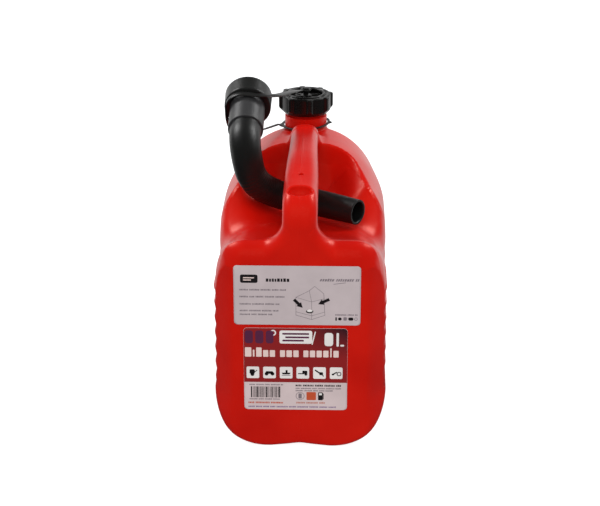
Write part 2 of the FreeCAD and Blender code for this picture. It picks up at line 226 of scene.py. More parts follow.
def handle_distance(x, y, z):
    # The loop seen from the side: its outer line, less the hand gap.
    front = -HALF_LENGTH - y
    roof = 227 + 4.5 * smooth((y + 112) / 90)
    outer = both(front, z - roof, HANDLE_BEND)
    gap_roof = 205.5 + 3.5 * smooth((y + 90) / 120)
    gap = both(both(COLUMN_BACK - y, z - gap_roof, GRIP_BEND), y - 66, 14)
    loop = both(outer, -gap, 2)
    far_slope = (y - 60) * 0.8 + (z - 231) * 0.6
    half = HANDLE_HALF - 2.4 * smooth((y + 95) / 135)
    plan = both(np.abs(x) - half, far_slope, half - 1)
    handle = both(loop, plan, HANDLE_EDGE)

    # A thumb-sized scoop under the handle's near end.
    scoop = (np.sqrt((x / 10) ** 2 + ((y + 110) / 7.5) ** 2 + ((z - 226) / 9) ** 2) - 1) * 7
    handle = both(handle, -scoop, 1.2)
    return np.maximum(handle, 190 - z)


def neck_base_distance(x, y, z):
    radius = np.hypot(x, y - NECK[1])
    return np.maximum(radius - NECK_BASE_RADIUS, np.maximum(z - NECK_BASE_TOP, HUMP_TOP - 20 - z))


def plain_can(x, y, z):
    """Signed distance to the can's outer skin, without its mould seam."""
    body = either(tank_distance(x, y, z), column_distance(x, y, z), 17)
    body = front_face(body, x, y, z)
    body = either(body, handle_distance(x, y, z), 7 * smooth((y - 5) / 40))
    body = either(body, neck_base_distance(x, y, z), 2.5)
    dimple = np.sqrt(x**2 + (y + 78) ** 2 + ((z - 228.6) / 2) ** 2) - 2.2
    return both(body, -dimple, 0.3)


def can_distance(x, y, z):
    """The outer skin with its mould seam, which stops at the flat far end."""
    seam = 0.22 * np.exp(-((x / 0.5) ** 2))
    return np.maximum(plain_can(x, y, z) - seam, y - HALF_LENGTH)


def cavity_distance(x, y, z):
    """Signed distance to the can's inner skin, with the mouth's bore."""
    body = front_face(tank_distance(x, y, z), x, y, z) + WALL
    bore = np.maximum(np.hypot(x, y - NECK[1]) - MOUTH_RADIUS, HUMP_TOP - 10 - z)
    return either(body, bore, 2)


# ---------------------------------------------------------------- meshing


def even_steps(low, high, longest):
    """Grid lines from low to high, at most longest apart."""
    return np.linspace(low, high, int(math.ceil((high - low) / longest)) + 1)


def uneven_steps(low, high, coarse, fine, fine_low, fine_high):
    """Grid lines from low to high, closer together between fine_low and fine_high."""
    return np.concatenate([even_steps(low, fine_low, coarse)[:-1], even_steps(fine_low, fine_high, fine),
                           even_steps(fine_high, high, coarse)[1:]])


CORNERS = np.array([[i, j, k] for i in (0, 1) for j in (0, 1) for k in (0, 1)])
EDGES = [(a, b) for a in range(8) for b in range(a + 1, 8) if np.abs(CORNERS[a] - CORNERS[b]).sum() == 1]


def surface_net(distance, xs, ys, zs):
    """Vertices and quads of the surface where distance is zero, one vertex in each grid cell it crosses."""
    values = distance(xs[:, None, None], ys[None, :, None], zs[None, None, :])
    values = np.broadcast_to(values, (len(xs), len(ys), len(zs)))
    inside = values < 0
    count = np.zeros((len(xs) - 1, len(ys) - 1, len(zs) - 1), int)
    for i, j, k in CORNERS:
        count += inside[i:len(xs) - 1 + i, j:len(ys) - 1 + j, k:len(zs) - 1 + k]
    cells = np.argwhere((count > 0) & (count < 8))
    number = np.full(count.shape, -1)
    number[tuple(cells.T)] = np.arange(len(cells))

    total, crossings = np.zeros((len(cells), 3)), np.zeros(len(cells))
    for a, b in EDGES:
        first, second = cells + CORNERS[a], cells + CORNERS[b]
        value_a, value_b = values[tuple(first.T)], values[tuple(second.T)]
        crosses = (value_a < 0) != (value_b < 0)
        share = np.where(crosses, value_a / np.where(crosses, value_a - value_b, 1), 0)[:, None]
        start = np.stack([xs[first[:, 0]], ys[first[:, 1]], zs[first[:, 2]]], 1)
        end = np.stack([xs[second[:, 0]], ys[second[:, 1]], zs[second[:, 2]]], 1)
        total += np.where(crosses[:, None], start + share * (end - start), 0)
        crossings += crosses
    vertices = total / crossings[:, None]

    quads = []
    for axis in range(3):
        other = [d for d in range(3) if d != axis]
        shape = list(values.shape)
        lower, upper = [slice(None)] * 3, [slice(None)] * 3
        lower[axis], upper[axis] = slice(0, shape[axis] - 1), slice(1, shape[axis])
        for d in other:
            lower[d] = upper[d] = slice(1, shape[d] - 1)
        here, there = inside[tuple(lower)], inside[tuple(upper)]
        edges = np.argwhere(here != there)
        outward = here[tuple(edges.T)]
        for d in other:
            edges[:, d] += 1
        around = []
        for step_a, step_b in ((0, 0), (1, 0), (1, 1), (0, 1)):
            cell = edges.copy()
            cell[:, other[0]] -= step_a
            cell[:, other[1]] -= step_b
            around.append(number[tuple(cell.T)])
        quad = np.stack(around, 1)
        flip = outward if axis != 1 else ~outward
        quad[~flip] = quad[~flip][:, ::-1]
        quads.append(quad)
    return vertices, np.concatenate(quads)


def gradient(distance, points, nudge=0.05):
    x, y, z = points.T
    return np.stack([
        distance(x + nudge, y, z) - distance(x - nudge, y, z),
        distance(x, y + nudge, z) - distance(x, y - nudge, z),
        distance(x, y, z + nudge) - distance(x, y, z - nudge),
    ], 1) / (2 * nudge)


def onto_surface(distance, points, rounds=4):
    """Move points along the gradient until the distance is zero; also gives the outward normals there."""
    for _ in range(rounds):
        slope = gradient(distance, points)
        square = np.maximum((slope**2).sum(1), 0.05)
        step = -distance(*points.T)[:, None] * slope / square[:, None]
        points = points + np.clip(step, -1.2, 1.2)
    slope = gradient(distance, points, 0.25)
    return points, slope / np.maximum(np.linalg.norm(slope, axis=1), 1e-9)[:, None]


def make_mesh(name, vertices, faces, normals=None, materials=(), face_materials=None):
    """A mesh object from millimetres, smooth shaded."""
    mesh = bpy.data.meshes.new(name)
    mesh.from_pydata((np.asarray(vertices, float) * MM).tolist(), [], np.asarray(faces).tolist()
                     if isinstance(faces, np.ndarray) else faces)
    mesh.polygons.foreach_set("use_smooth", [True] * len(mesh.polygons))
    for material in materials:
        mesh.materials.append(material)
    if face_materials is not None:
        mesh.polygons.foreach_set("material_index", face_materials)
    mesh.update()
    if normals is not None:
        mesh.normals_split_custom_set_from_vertices(np.asarray(normals, float).tolist())
    obj = bpy.data.objects.new(name, mesh)
    bpy.context.scene.collection.objects.link(obj)
    return obj


# ---------------------------------------------------------------- materials


class Nodes:
    """A short way to write a material's nodes."""

    def __init__(self, name):
        self.material = bpy.data.materials.new(name)
        self.material.use_nodes = True
        self.tree = self.material.node_tree
        self.shader = self.tree.nodes["Principled BSDF"]

    def add(self, kind, inputs=None, **settings):
        node = self.tree.nodes.new("ShaderNode" + kind)
        for key, value in settings.items():
            setattr(node, key, value)
        for key, value in (inputs or {}).items():
            if isinstance(value, bpy.types.NodeSocket):
                self.tree.links.new(value, node.inputs[key])
            else:
                node.inputs[key].default_value = value
        return node

    def place(self):
        """Object coordinates in millimetres."""
        coordinates = self.add("TexCoord").outputs["Object"]
        scaled = self.add("VectorMath", operation="SCALE", inputs={0: coordinates})
        scaled.inputs["Scale"].default_value = 1 / MM
        return scaled.outputs[0]

    def noise(self, place, scale, detail=2.0, rough=0.5):
        """Noise with features about scale millimetres wide."""
        inputs = {"Vector": place, "Scale": 1 / scale, "Detail": detail, "Roughness": rough}
        return self.add("TexNoise", inputs)

    def span(self, value, low, high, from_low=0.0, from_high=1.0):
        ranged = self.add("MapRange", {"Value": value, "From Min": from_low, "From Max": from_high,
                                       "To Min": low, "To Max": high})
        return ranged.outputs["Result"]

    def mix(self, factor, first, second):
        node = self.add("Mix", data_type="RGBA")
        for index, value in ((0, factor), (6, first), (7, second)):
            if isinstance(value, bpy.types.NodeSocket):
                self.tree.links.new(value, node.inputs[index])
            else:
                node.inputs[index].default_value = value
        return node.outputs[2]

    def math(self, operation, first, second=0.0):
        return self.add("Math", {0: first, 1: second}, operation=operation).outputs[0]

    def bump(self, height, distance, strength=1.0, normal=None):
        inputs = {"Height": height, "Distance": distance, "Strength": strength}
        if normal is not None:
            inputs["Normal"] = normal
        return self.add("Bump", inputs).outputs["Normal"]

    def set(self, **sockets):
        for name, value in sockets.items():
            socket = self.shader.inputs[name.replace("_", " ")]
            if isinstance(value, bpy.types.NodeSocket):
                self.tree.links.new(value, socket)
            else:
                socket.default_value = value
        return self.material


def moulded_plastic(name, dark, light, roughness, grain=0.35, grain_depth=0.02, tint=(1, 1, 1, 1)):
    """Moulded plastic: slow colour drift, fine grain in the gloss and the surface, and faint scuffs."""
    nodes = Nodes(name)
    place = nodes.place()
    drift = nodes.noise(place, 55, 3).outputs["Fac"]
    stretched = nodes.add("Mapping", {"Vector": place, "Scale": (1, 0.25, 1)}).outputs[0]
    scuffs = nodes.noise(stretched, 2.2, 4, 0.65)
    marks = nodes.span(scuffs.outputs["Fac"], 0, 1, 0.62, 0.74)
    colour = nodes.mix(nodes.span(drift, 0, 1, 0.3, 0.7), dark, light)
    lifted = tuple(min(1, 0.82 * channel + 0.06) for channel in light[:3]) + (1,)
    colour = nodes.mix(nodes.math("MULTIPLY", marks, 0.08), colour, lifted)
    fine = nodes.noise(place, grain, 2).outputs["Fac"]
    gloss = nodes.math("ADD", nodes.span(drift, -0.03, 0.04), nodes.math("MULTIPLY", marks, 0.1))
    gloss = nodes.math("ADD", gloss, nodes.span(fine, roughness - 0.03, roughness + 0.03))
    waves = nodes.noise(place, 9, 1).outputs["Fac"]
    normal = nodes.bump(waves, 0.12 * MM)
    normal = nodes.bump(fine, grain_depth * MM, normal=normal)
    return nodes.set(Base_Color=colour, Roughness=gloss, Normal=normal, Specular_Tint=tint, IOR=1.5)


RED = moulded_plastic("red_polyethylene", (0.48, 0.0032, 0.0012, 1), (0.58, 0.006, 0.002, 1), 0.3,
                      tint=(1, 0.33, 0.22, 1))
CAP_BLACK = moulded_plastic("cap_black", (0.0035, 0.0032, 0.003, 1), (0.006, 0.0055, 0.005, 1),
                            0.27, 0.3, 0.015)
SOFT_BLACK = moulded_plastic("soft_black", (0.007, 0.0072, 0.0068, 1), (0.011, 0.0112, 0.0105, 1),
                             0.36, 0.3, 0.02)
HOSE_BLACK = moulded_plastic("hose_black", (0.004, 0.0042, 0.004, 1), (0.007, 0.0072, 0.0068, 1),
                             0.42, 0.3, 0.02)
GREY = moulded_plastic("sleeve_grey", (0.026, 0.026, 0.027, 1), (0.036, 0.036, 0.037, 1), 0.4, 0.4, 0.03)
RUBBER = moulded_plastic("rubber", (0.01, 0.01, 0.01, 1), (0.016, 0.016, 0.016, 1), 0.62, 0.5, 0.03)


# ---------------------------------------------------------------- the can


def add_piece(obj, body, node):
    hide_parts(node)
    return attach(obj, body)


def can_skin():
    xs = uneven_steps(-HALF_WIDTH - 1.5, HALF_WIDTH + 1.5, 1.75, 0.4, -2.8, 2.8)
    ys = uneven_steps(-HALF_LENGTH - 1.5, HALF_LENGTH + 1.5, 1.75, 0.5, -81, -75)
    zs = uneven_steps(-1.5, 234, 1.75, 0.6, 225, 231)
    vertices, quads = surface_net(can_distance, xs, ys, zs)
    vertices, normals = onto_surface(can_distance, vertices)
    return make_mesh("can_skin", vertices, quads, normals, [RED])


def can_liner():
    xs = even_steps(-HALF_WIDTH, HALF_WIDTH, 3.4)
    ys = even_steps(-HALF_LENGTH, HALF_LENGTH, 3.4)
    zs = even_steps(0, NECK_BASE_TOP - 0.5, 3.4)
    vertices, quads = surface_net(cavity_distance, xs, ys, zs)
    vertices, normals = onto_surface(cavity_distance, vertices)
    return make_mesh("can_liner", vertices, quads[:, ::-1], -normals, [RED])


def turned(name, rings, material, origin, axis=(0, 0, 1), segments=96, swell=None):
    """A closed outline of (radius, height) turned about an axis; swell may move a radius."""
    axis = Vector(axis).normalized()
    turn = axis.to_track_quat("Z", "X").to_matrix()
    vertices, faces = [], []
    for radius, height in rings:
        for step in range(segments):
            angle = 2 * math.pi * step / segments
            here = radius if swell is None else swell(radius, height, angle)
            point = Vector((here * math.cos(angle), here * math.sin(angle), height))
            vertices.append(Vector(origin) + turn @ point)
    count = len(rings)
    for row in range(count):
        following = (row + 1) % count
        for step in range(segments):
            ahead = (step + 1) % segments
            faces.append((row * segments + step, row * segments + ahead,
                          following * segments + ahead, following * segments + step))
    return make_mesh(name, [tuple(v) for v in vertices], faces, None, [material])


def rounded_rings(corners, radius=0.5, steps=4):
    """A closed (radius, height) outline whose corners are rounded. A corner may carry its own radius."""
    rings = []
    count = len(corners)
    for i in range(count):
        here = np.array(corners[i][:2], float)
        size = corners[i][2] if len(corners[i]) > 2 else radius
        before = np.array(corners[i - 1][:2], float) - here
        after = np.array(corners[(i + 1) % count][:2], float) - here
        reach = min(size, 0.45 * np.linalg.norm(before), 0.45 * np.linalg.norm(after))
        start = here + before / np.linalg.norm(before) * reach
        end = here + after / np.linalg.norm(after) * reach
        for step in range(steps + 1):
            t = step / steps
            rings.append(tuple((1 - t) ** 2 * start + 2 * t * (1 - t) * here + t**2 * end))
    return rings


def between(rings, longest):
    """Split the long stretches of an outline so that a thread can be raised on them."""
    filled = []
    for i, ring in enumerate(rings):
        following = rings[(i + 1) % len(rings)]
        parts = max(1, int(math.hypot(following[0] - ring[0], following[1] - ring[1]) / longest))
        for step in range(parts):
            t = step / parts
            filled.append((ring[0] + (following[0] - ring[0]) * t, ring[1] + (following[1] - ring[1]) * t))
    return filled


def thread_ridge(height, angle, pitch, low, high):
    """1 on a thread's ridge and 0 between turns, fading at the two ends."""
    phase = (height / pitch - angle / (2 * math.pi)) % 1
    ridge = math.exp(-(((phase - 0.5) / 0.17) ** 2))
    fade = max(0.0, min(1.0, (height - low) / 1.5, (high - height) / 1.5))
    return ridge * fade


def can_mouth():
    """The threaded neck above the skin's collar, open down to the tank."""
    outline = rounded_rings([
        (MOUTH_RADIUS, HUMP_TOP - 4), (NECK_BASE_RADIUS - 1, HUMP_TOP - 4),
        (NECK_BASE_RADIUS - 1, NECK_BASE_TOP),
        (17, NECK_BASE_TOP + 0.6), (17, NECK_TOP), (MOUTH_RADIUS, NECK_TOP),
    ])

    def swell(radius, height, angle):
        if radius < MOUTH_RADIUS + 1 or height < NECK_BASE_TOP:
            return radius
        return radius + 1.1 * thread_ridge(height, angle, 4.2, NECK_BASE_TOP + 1, NECK_TOP - 0.8)

    return turned("can_mouth", between(outline, 0.5), RED, tuple(NECK), swell=swell)


for piece in (can_skin(), can_liner(), can_mouth()):
    add_piece(piece, "can", "can_body")


# ---------------------------------------------------------------- the cap


CAP_RADIUS = 23
CAP_TOP = CAP_HIGH[2]
CAP_FOOT = CAP_LOW[2]
CAP_WINDOW = 15
LUGS = 8
LUG_PHASE = math.radians(10)


def ring_net(name, distance, low, high, step, material):
    """A net over a piece that stands round the neck's axis."""
    axes = [even_steps(low[i] - step, high[i] + step, step) for i in range(3)]

    def placed(x, y, z):
        return distance(x, y - NECK[1], z)

    vertices, quads = surface_net(placed, *axes)
    vertices, normals = onto_surface(placed, vertices)
    return make_mesh(name, vertices, quads, normals, [material])


def cap_shell():
    """The outer cap: a lugged wall with a chamfered foot, and a bead with a channel round its window."""
    foot_radius, chamfer, lug_reach, lug_half = 20.2, 2.8, 2.4, 2.2
    rim = CAP_TOP - 0.6
    outline = rounded_rings([
        (19.3, CAP_FOOT, 0.3), (foot_radius, CAP_FOOT, 0.3), (CAP_RADIUS, CAP_FOOT + chamfer, 1.2),
        (CAP_RADIUS, rim, 1.6), (20, rim, 0.7), (19.3, rim - 0.8, 0.5), (18.2, rim - 0.8, 0.4),
        (17.8, CAP_TOP, 1.1), (CAP_WINDOW + 0.4, CAP_TOP, 1.1), (CAP_WINDOW + 0.4, CAP_TOP - 1.75, 0.3),
        (21, CAP_TOP - 1.75, 0.5), (21, CAP_FOOT + 2, 0.3), (19.3, CAP_FOOT + 2, 0.3),
    ], 0.4, 6)

    def swell(radius, height, angle):
        if radius < 21.05:
            return radius
        turn = math.remainder(angle - LUG_PHASE, 2 * math.pi / LUGS)
        side = float(smooth((lug_half + 1 - abs(CAP_RADIUS * math.sin(turn))) / 2))
        crest = float(smooth((radius - 21.05) / 1.6))
        line = foot_radius + height - CAP_FOOT
        return max(radius, min(radius + lug_reach * side * crest, line))

    return turned("cap_shell_ribbed", between(outline, 0.8), CAP_BLACK, tuple(NECK), segments=288,
                  swell=swell)


def cap_inner_distance(x, y, z):
    radius, angle = np.hypot(x, y), np.arctan2(y, x)
    roof = 244.5
    shell = both(radius - 20.6, z - roof, 0.8)
    hollow = both(radius - 18.35, z - roof + 2, 0.5)
    body = np.maximum(both(shell, -hollow, 0.3), 232.8 - z)
    spacing = math.pi / 3
    turn = (angle - 0.35 + spacing / 2) % spacing - spacing / 2
    rib = both(np.abs(radius * np.sin(turn)) - 1.0, z - roof - 1.8, 0.6)
    rib = both(np.maximum(rib, 4 - radius), radius - 13.6, 0.6)
    hub = both(radius - 5.2, z - roof - 2.2, 0.8)
    post = both(radius - 2.4, z - INNER_HIGH[2], 0.3)
    head = both(both(radius - 3.2, z - INNER_HIGH[2], 0.6), INNER_HIGH[2] - 0.85 - z, 0.2)
    body = either(body, np.maximum(np.minimum(rib, hub), roof - 1 - z), 0.7)
    return np.minimum(body, np.maximum(np.minimum(post, head), roof - 1 - z))


INNER_LOW, INNER_HIGH = box_mm("cap_inner")
add_piece(cap_shell(), "cap_shell", "cap_outer")
cap_inner = ring_net("cap_plug", cap_inner_distance, INNER_LOW, INNER_HIGH, 0.45, CAP_BLACK)
add_piece(cap_inner, "cap", "cap_inner")


# ---------------------------------------------------------------- the tether


def tether_ring():
    """A thin ring that hangs round the neck's foot, higher on the right, with a small tab there."""
    middle_height = 219.2
    inner, outer, thick = 20.2, 22.6, 1.3
    half = thick / 2
    rings = rounded_rings([(inner, -half), (outer, -half), (outer, half), (inner, half)], 0.4, 3)

    def swell(radius, height, angle):
        tab = math.exp(-((math.remainder(angle + 0.15, 2 * math.pi) / 0.07) ** 2))
        root = math.exp(-((math.remainder(angle - math.pi - 0.12, 2 * math.pi) / 0.17) ** 2))
        return radius + (2.2 * tab + 2.6 * root if radius > (inner + outer) / 2 else 0)

    lean = math.radians(4)
    place = (0, NECK[1], middle_height)
    axis = (-math.sin(lean), 0, math.cos(lean))
    return turned("tether_loop", rings, SOFT_BLACK, place, axis, 120, swell)


add_piece(tether_ring(), "can", "tether_ring")


def tether_eye():
    low, high = box_mm("tether_eye")
    inner, outer = 2.75, 5.1
    tall = high[2] - low[2]
    rings = rounded_rings([(inner, 0), (outer, 0), (outer, tall), (inner, tall)], 0.45, 3)
    return turned("tether_eyelet", rings, SOFT_BLACK, (0, NECK[1], low[2]), segments=64)


add_piece(tether_eye(), "cap_eye", "tether_eye")

# The strap's route: from the ring, round the sleeve's left side and over its top, to the eye on the cap.
STRAP_ROUTE = [
    (-0.0254, 0.092, 0.2184), (-0.045, 0.058, 0.2215), (-0.069, 0.021, 0.2368), (-0.069, 0.0108, 0.2734),
    (-0.028, 0.0085, 0.2698), (-0.0085, 0.068, 0.2578), (-0.0056, 0.0904, 0.2516),
]
STRAP_WIDTH, STRAP_THICK = 6.5, 1.2

# The spout's places: the sleeve's end, the way it points, and the hose's route from the sleeve.
SPOUT_FOOT = Vector((-50, -13.6, 246.2))
SPOUT_AXIS = Vector((0, 0.96, 0.28)).normalized()
SOCKET_DEPTH = 12
HOSE_ROUTE = [
    SPOUT_FOOT + SPOUT_AXIS * SOCKET_DEPTH, Vector((-50, -35.5, 239.8)), Vector((-43.5, -36, 206)),
    Vector((-20, -22, 188.5)), Vector((10, -31, 186.8)), Vector((48, -57, 187)),
]


def rounded_route(points, step):
    """Points along straight runs joined by tangent arcs, about step apart."""
    points = [Vector(p) for p in points]
    path, last = [], points[0]
    for before, here, after in zip(points, points[1:], points[2:]):
        reach = 0.45 * min((before - here).length, (after - here).length)
        towards, away = (before - here).normalized(), (after - here).normalized()
        start, end = here + towards * reach, here + away * reach
        half = towards.angle(away) / 2
        radius = reach * math.tan(half)
        centre = here + (towards + away).normalized() * (reach / math.cos(half))
        path += [last.lerp(start, t) for t in np.arange(0, 1, step / max((start - last).length, step))]
        turn = math.pi - 2 * half
        count = max(2, int(radius * turn / step))
        first, second = (start - centre).normalized(), (end - centre).normalized()
        path += [centre + first.slerp(second, i / count) * radius for i in range(count)]
        last = end
    count = max(2, int((points[-1] - last).length / step))
    return path + [last.lerp(points[-1], t) for t in np.linspace(0, 1, count)]


def sweep(name, path, section_at, up_at, material):
    """A capped mesh swept along a path; section_at gives (sideways, up) and up_at a rough up."""
    count = len(path)
    vertices, faces, size = [], [], 0
    for i, here in enumerate(path):
        share = i / (count - 1)
        along = (path[min(i + 1, count - 1)] - path[max(i - 1, 0)]).normalized()
        sideways = along.cross(up_at(share)).normalized()
        up = sideways.cross(along)
        section = section_at(share)
        size = len(section)
        vertices += [tuple(here + sideways * a + up * b) for a, b in section]
    for i in range(count - 1):
        for j in range(size):
            k = (j + 1) % size
            faces.append((i * size + j, i * size + k, (i + 1) * size + k, (i + 1) * size + j))
    faces += [tuple(range(size))[::-1], tuple(range((count - 1) * size, count * size))]
    return make_mesh(name, vertices, faces, None, [material])


def blended_direction(stops):
    """A direction that changes smoothly between (share, direction) stops."""
    def at(share):
        for (s0, d0), (s1, d1) in zip(stops, stops[1:]):
            if share <= s1:
                t = float(smooth((share - s0) / (s1 - s0)))
                return (Vector(d0).normalized() * (1 - t) + Vector(d1).normalized() * t).normalized()
        return Vector(stops[-1][1])
    return at


def tether_strap():
    """A thin flat strap; its face turns to lie against the sleeve and ends flat on the cap."""
    path = rounded_route([Vector(p) / MM for p in STRAP_ROUTE], 1.0)
    corner = 0.45

    def section(share):
        width = STRAP_WIDTH * (0.55 + 0.45 * float(smooth((share - 0.02) / 0.3)))
        a, b = width / 2, STRAP_THICK / 2
        return [(-a, b - corner), (-a, corner - b), (corner - a, -b), (a - corner, -b),
                (a, corner - b), (a, b - corner), (a - corner, b), (corner - a, b)]

    facing = blended_direction([
        (0.0, (0, 0.2, 1)), (0.25, (-0.5, 0.1, 0.85)), (0.42, (-1, 0, 0.15)), (0.55, (-0.5, -0.15, 0.85)),
        (0.7, (0.1, -0.2, 1)), (1.0, (0, 0, 1)),
    ])
    strap = sweep("tether_band", path, section, facing, SOFT_BLACK)
    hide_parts("tether_strap")

    # Two points near the strap's ends and its path line, in metres, are handed back; nothing further uses
    # them.
    start, end = Vector((-0.0316, 0.0904, 0.236)), Vector(STRAP_ROUTE[-1])
    line = [tuple(p * MM) for p in path]
    return strap, line, start, end


strap, strap_line, blend_start, blend_end = tether_strap()


# ---------------------------------------------------------------- the spout


def spout_sleeve():
    outline = rounded_rings([
        (12.7, 0, 0.4), (15.5, 0, 0.7), (15.5, 37.4, 0.4), (18.0, 37.4, 0.3), (18.0, 39.6, 0.3),
        (12.7, 39.6, 0.4),
    ], 0.4)
    return turned("spout_sleeve_moulded", outline, GREY, tuple(SPOUT_FOOT), SPOUT_AXIS)


def spout_collar():
    """The union nut: smooth outside, threaded inside its open mouth."""
    foot, mouth, radius, bore = 35.1, 53.9, 21, 18.5
    outline = rounded_rings([
        (15.62, foot, 0.3), (radius - 0.4, foot, 1.8), (radius, mouth, 0.8), (bore, mouth, 0.7),
        (bore, 41.8, 0.2), (18.9, 41.6, 0.2), (18.9, foot + 2.1, 0.2), (15.62, foot + 2.1, 0.2),
    ], 0.4, 5)

    def swell(radius_here, height, angle):
        if abs(radius_here - bore) > 0.05:
            return radius_here
        return radius_here - 1.0 * thread_ridge(height, angle, 4.2, 42.5, mouth - 1)

    return turned("spout_union_nut", between(outline, 0.5), SOFT_BLACK, tuple(SPOUT_FOOT), SPOUT_AXIS,
                  swell=swell)


def spout_hose():
    """A tapering moulded tube, finely ribbed round its bend, with an open end."""
    path = rounded_route(HOSE_ROUTE, 0.42)
    first, last, wall = 14.15, 10.9, 1.8
    segments = 56
    count = len(path)

    def outer_radius(share):
        ribbed = float(smooth((share - 0.3) / 0.06) * smooth((0.73 - share) / 0.05))
        rib = 0.11 * math.cos(share * count * 0.42 * 2 * math.pi / 2.6)
        return first + (last - first) * share + rib * ribbed

    rings = [(i, outer_radius(i / (count - 1))) for i in range(count)]
    rim = [(count - 1, last - 0.35), (count - 1, last - wall + 0.35)]
    inside = [(i, outer_radius(i / (count - 1)) - wall) for i in range(count - 1, -1, -4)]
    vertices, faces = [], []
    frame_up = Vector((1, 0, 0))
    frames = []
    for i in range(count):
        along = (path[min(i + 1, count - 1)] - path[max(i - 1, 0)]).normalized()
        frame_up = (frame_up - along * frame_up.dot(along)).normalized()
        frames.append((frame_up.copy(), along.cross(frame_up)))
    for i, radius in rings + rim + inside:
        up, side = frames[i]
        for j in range(segments):
            angle = 2 * math.pi * j / segments
            vertices.append(tuple(path[i] + (up * math.cos(angle) + side * math.sin(angle)) * radius))
    rows = len(rings) + len(rim) + len(inside)
    for row in range(rows):
        following = (row + 1) % rows
        for j in range(segments):
            k = (j + 1) % segments
            here, ahead = row * segments, following * segments
            faces.append((here + k, ahead + k, ahead + j, here + j))
    return make_mesh("spout_tube", vertices, faces, None, [HOSE_BLACK])


add_piece(spout_sleeve(), "spout", "spout_sleeve")
add_piece(spout_collar(), "spout_nut", "spout_collar")
add_piece(spout_hose(), "spout", "spout_hose")


# ---------------------------------------------------------------- the stickers


def paper(name, colour, roughness=0.45):
    nodes = Nodes(name)
    place = nodes.place()
    mottle = nodes.noise(place, 18, 3).outputs["Fac"]
    fibre = nodes.noise(place, 0.4, 2).outputs["Fac"]
    darker = tuple(0.9 * c for c in colour[:3]) + (1,)
    tint = nodes.mix(nodes.span(mottle, 0, 1, 0.3, 0.7), darker, colour)
    normal = nodes.bump(nodes.noise(place, 6, 1).outputs["Fac"], 0.05 * MM)
    normal = nodes.bump(fibre, 0.008 * MM, normal=normal)
    gloss = nodes.span(fibre, roughness - 0.04, roughness + 0.04)
    return nodes.set(Base_Color=tint, Roughness=gloss, Normal=normal)


def faded_red():
    """The lower sticker's field: deep red that runs into near-black at its top right corner."""
    nodes = Nodes("print_field")
    place = nodes.place()
    parts = nodes.add("SeparateXYZ", {"Vector": place})
    right = nodes.span(parts.outputs["X"], 0, 1, -12, 40)
    high = nodes.span(parts.outputs["Z"], 0, 1, 84, 112)
    corner = nodes.math("MULTIPLY", nodes.math("MAXIMUM", right, 0.0), nodes.math("MAXIMUM", high, 0.0))
    corner = nodes.math("MINIMUM", corner, 1.0)
    colour = nodes.mix(corner, (0.26, 0.006, 0.007, 1), (0.018, 0.006, 0.012, 1))
    return nodes.set(Base_Color=colour, Roughness=0.38)


PAPER = paper("sticker_paper", (0.53, 0.45, 0.46, 1))
PAPER_WHITE = paper("sticker_white", (0.64, 0.52, 0.52, 1))
INKS = {
    "black": paper("ink_black", (0.012, 0.008, 0.01, 1)),
    "grey": paper("ink_grey", (0.21, 0.17, 0.19, 1)),
    "pale": paper("ink_pale", (0.78, 0.6, 0.56, 1)),
    "white": paper("ink_white", (0.8, 0.76, 0.74, 1)),
    "violet": paper("ink_violet", (0.1, 0.012, 0.055, 1)),
    "plum": paper("ink_plum", (0.2, 0.12, 0.26, 1)),
    "orange": paper("ink_orange", (0.55, 0.075, 0.02, 1)),
    "rust": paper("ink_rust", (0.5, 0.17, 0.12, 1)),
}
FIELD = faded_red()


def near_face(x, z, lift):
    """Where a point lift above the can's near face lies, for each x and z."""
    x, z = np.asarray(x, float), np.asarray(z, float)
    y = np.full(x.shape, -HALF_LENGTH - 6.0)
    for _ in range(25):
        y = y + 0.9 * (plain_can(x, y, z) - lift)
    return np.stack([x, y, z], -1)


def sticker(name, centre_x, low, high, width, material):
    """A thin sheet with rounded corners that follows the can's near face."""
    corner, rows, columns = 3.0, 44, 50
    heights = low + (high - low) * (0.5 - 0.5 * np.cos(np.linspace(0, math.pi, rows)))
    over = np.maximum(np.maximum(low + corner - heights, heights - (high - corner)), 0)
    half = width / 2 - corner + np.sqrt(corner**2 - over**2)
    across = np.linspace(-1, 1, columns)
    x = centre_x + half[:, None] * across[None, :]
    z = np.repeat(heights[:, None], columns, 1)
    front, back = near_face(x, z, 0.3), near_face(x, z, 0.04)
    vertices = np.concatenate([front.reshape(-1, 3), back.reshape(-1, 3)])
    faces = []
    offset = rows * columns
    for i in range(rows - 1):
        for j in range(columns - 1):
            a = i * columns + j
            faces.append((a, a + 1, a + columns + 1, a + columns))
            faces.append((offset + a, offset + a + columns, offset + a + columns + 1, offset + a + 1))
    loop = [j for j in range(columns)] + [i * columns + columns - 1 for i in range(1, rows)]
    loop += [(rows - 1) * columns + j for j in range(columns - 2, -1, -1)]
    loop += [i * columns for i in range(rows - 2, 0, -1)]
    for a, b in zip(loop, loop[1:] + loop[:1]):
        faces.append((a, offset + a, offset + b, b))
    return make_mesh(name, vertices, faces, None, [material])


